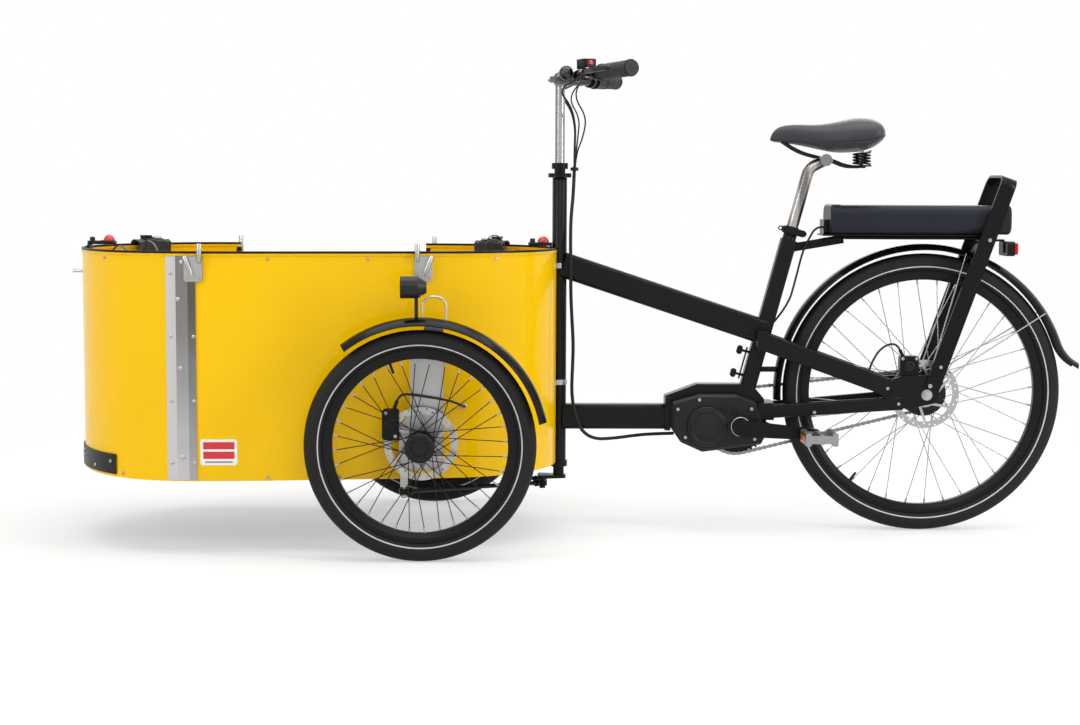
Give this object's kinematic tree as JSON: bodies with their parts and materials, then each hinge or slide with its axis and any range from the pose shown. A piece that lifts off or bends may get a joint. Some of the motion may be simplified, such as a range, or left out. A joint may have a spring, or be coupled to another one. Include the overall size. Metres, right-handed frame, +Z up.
{
  "type": "cargo tricycle",
  "caption": "Electric cargo tricycle: steered front wheels beside a fixed rounded passenger box, mid motor, chain drive and rear battery rack.",
  "frame": {"origin": "on the floor at mid-length and mid-width", "axes": "+Z up, front towards -X, the rider's left is -Y"},
  "size_m": [2.3552, 0.916, 1.0909],
  "materials": {
    "frame_black": "satin powder coat",
    "box_yellow": "gloss paint",
    "trim_black": "satin",
    "bright_strip": "polished",
    "board": "sealed plywood",
    "zinc": "zinc plated",
    "webbing": "woven",
    "button_red": "gloss",
    "motor_grey": "cast and painted",
    "chain_steel": "oiled",
    "rim_black": "anodised",
    "tyre_rubber": "tread and reflective line",
    "rubber": "soft",
    "lever_black": "painted",
    "battery_case": "moulded",
    "saddle_cover": "padded vinyl"
  },
  "bodies": {
    "frame": {"main_frame": "frame_black", "axle_beam": "frame_black", "box_front_sheet": "box_yellow", "box_left_sheet": "box_yellow", "box_right_sheet": "box_yellow", "box_trim": "trim_black", "seam_strips": "bright_strip", "box_boards": "board", "box_brackets": "zinc", "belts": "webbing", "motor_unit": "motor_grey", "chain": "chain_steel", "rear_mudguard": "trim_black", "rear_rack": "frame_black", "tail_light": "trim_black", "ring_lock": "frame_black", "rear_caliper": "frame_black", "frame_cables": "rubber"},
    "steering": {"steering_shaft": "frame_black"},
    "bar": {"stem": "frame_black", "handlebar": "frame_black", "grips": "rubber", "bar_controls": "trim_black", "bar_cables": "rubber"},
    "shifter": {"twist_shifter": "trim_black"},
    "left_lever": {"left_brake_lever": "lever_black"},
    "right_lever": {"right_brake_lever": "lever_black"},
    "left_track_rod": {"left_tie_rod": "frame_black"},
    "right_track_rod": {"right_tie_rod": "frame_black"},
    "left_corner": {"left_knuckle": "frame_black", "left_front_mudguard": "trim_black", "headlamp": "trim_black"},
    "right_corner": {"right_knuckle": "frame_black", "right_front_mudguard": "trim_black"},
    "left_wheel": {"left_tyre": "tyre_rubber", "left_rim": "rim_black", "left_spokes": "rim_black", "left_hub": "trim_black", "left_rotor": "chain_steel"},
    "right_wheel": {"right_tyre": "tyre_rubber", "right_rim": "rim_black", "right_spokes": "rim_black", "right_hub": "trim_black", "right_rotor": "chain_steel"},
    "rear_wheel": {"rear_tyre": "tyre_rubber", "rear_rim": "rim_black", "rear_spokes": "chain_steel", "rear_hub": "trim_black", "rear_rotor": "chain_steel"},
    "cranks": {"crankset": "frame_black"},
    "pedal_left": {"left_pedal": "trim_black"},
    "pedal_right": {"right_pedal": "trim_black"},
    "sprocket": {"rear_sprocket": "zinc"},
    "battery_pack": {"battery": "battery_case"},
    "shackle": {"lock_shackle": "zinc"},
    "seat": {"seat_post": "frame_black", "saddle": "saddle_cover", "saddle_frame": "zinc"},
    "front_button": {"front_belt_button": "button_red"},
    "rear_button": {"rear_belt_button": "button_red"}
  },
  "joints": [
    {"name": "steer", "type": "hinge", "parent": "frame", "child": "steering", "pos_m": [-0.041, 0, 0.5], "axis": [0, 0, 1], "range_deg": [-15, 15], "deforming": ["frame_cables"]},
    {"name": "stem_height", "type": "slide", "parent": "steering", "child": "bar", "axis": [0, 0, 1], "range_m": [-0.04, 0.06], "deforming": ["bar_cables"]},
    {"name": "left_kingpin", "type": "hinge", "parent": "frame", "child": "left_corner", "pos_m": [-0.349, -0.33, 0.25], "axis": [0, 0, 1], "range_deg": [-15, 15], "deforming": ["frame_cables"]},
    {"name": "right_kingpin", "type": "hinge", "parent": "frame", "child": "right_corner", "pos_m": [-0.349, 0.33, 0.25], "axis": [0, 0, 1], "range_deg": [-15, 15], "deforming": ["frame_cables"]},
    {"name": "left_track_pivot", "type": "hinge", "parent": "steering", "child": "left_track_rod", "pos_m": [-0.079, -0.016, 0.112], "axis": [0, 0, 1], "range_deg": [-15, 15]},
    {"name": "right_track_pivot", "type": "hinge", "parent": "steering", "child": "right_track_rod", "pos_m": [-0.079, 0.016, 0.112], "axis": [0, 0, 1], "range_deg": [-15, 15]},
    {"name": "left_wheel_spin", "type": "hinge", "parent": "left_corner", "child": "left_wheel", "pos_m": [-0.349, -0.41, 0.25], "axis": [0, 1, 0], "continuous": true},
    {"name": "right_wheel_spin", "type": "hinge", "parent": "right_corner", "child": "right_wheel", "pos_m": [-0.349, 0.41, 0.25], "axis": [0, 1, 0], "continuous": true},
    {"name": "rear_wheel_spin", "type": "hinge", "parent": "frame", "child": "rear_wheel", "pos_m": [0.812, 0, 0.3265], "axis": [0, 1, 0], "continuous": true},
    {"name": "crank_spin", "type": "hinge", "parent": "frame", "child": "cranks", "pos_m": [0.38151, 0, 0.25], "axis": [0, 1, 0], "continuous": true, "deforming": ["chain"]},
    {"name": "sprocket_spin", "type": "hinge", "parent": "frame", "child": "sprocket", "pos_m": [0.812, 0.048, 0.3265], "axis": [0, 1, 0], "continuous": true},
    {"name": "left_pedal_spin", "type": "hinge", "parent": "cranks", "child": "pedal_left", "pos_m": [0.55096, -0.149, 0.23637], "axis": [0, 1, 0], "continuous": true},
    {"name": "right_pedal_spin", "type": "hinge", "parent": "cranks", "child": "pedal_right", "pos_m": [0.21206, 0.149, 0.26363], "axis": [0, 1, 0], "continuous": true},
    {"name": "shifter_twist", "type": "hinge", "parent": "bar", "child": "shifter", "pos_m": [0.05609, 0.22256, 1.05932], "axis": [0.4795, 0.8768, 0.0361], "range_deg": [-45, 45]},
    {"name": "left_brake", "type": "hinge", "parent": "bar", "child": "left_lever", "pos_m": [0.01323, -0.20045, 1.05787], "axis": [-0.0173, 0.0317, 0.9993], "range_deg": [0, 10], "stiffness_Nm_per_rad": 4, "springref_deg": -2.86},
    {"name": "right_brake", "type": "hinge", "parent": "bar", "child": "right_lever", "pos_m": [0.01323, 0.20045, 1.05787], "axis": [0.0173, 0.0317, -0.9993], "range_deg": [0, 10], "stiffness_Nm_per_rad": 4, "springref_deg": -2.86},
    {"name": "seat_height", "type": "slide", "parent": "frame", "child": "seat", "axis": [0.2588, 0, 0.9659], "range_m": [-0.05, 0.06]},
    {"name": "battery_slide", "type": "slide", "parent": "frame", "child": "battery_pack", "axis": [1, 0, 0], "range_m": [0, 0.4]},
    {"name": "shackle_turn", "type": "hinge", "parent": "frame", "child": "shackle", "pos_m": [0.92625, 0, 0.6136], "axis": [-0.9291, 0, 0.3697], "range_deg": [0, 128]},
    {"name": "front_button_press", "type": "slide", "parent": "frame", "child": "front_button", "axis": [0, 0, -1], "range_m": [0, 0.003], "stiffness_N_per_m": 900, "springref_m": -0.002},
    {"name": "rear_button_press", "type": "slide", "parent": "frame", "child": "rear_button", "axis": [0, 0, -1], "range_m": [0, 0.003], "stiffness_N_per_m": 900, "springref_m": -0.002}
  ],
  "couplings": [
    {"joint": "left_kingpin", "follows": "steer", "ratio": 1},
    {"joint": "right_kingpin", "follows": "steer", "ratio": 1},
    {"joint": "left_track_pivot", "follows": "steer", "ratio": -1},
    {"joint": "right_track_pivot", "follows": "steer", "ratio": -1},
    {"joint": "sprocket_spin", "follows": "crank_spin", "ratio": 1.5833}
  ]
}
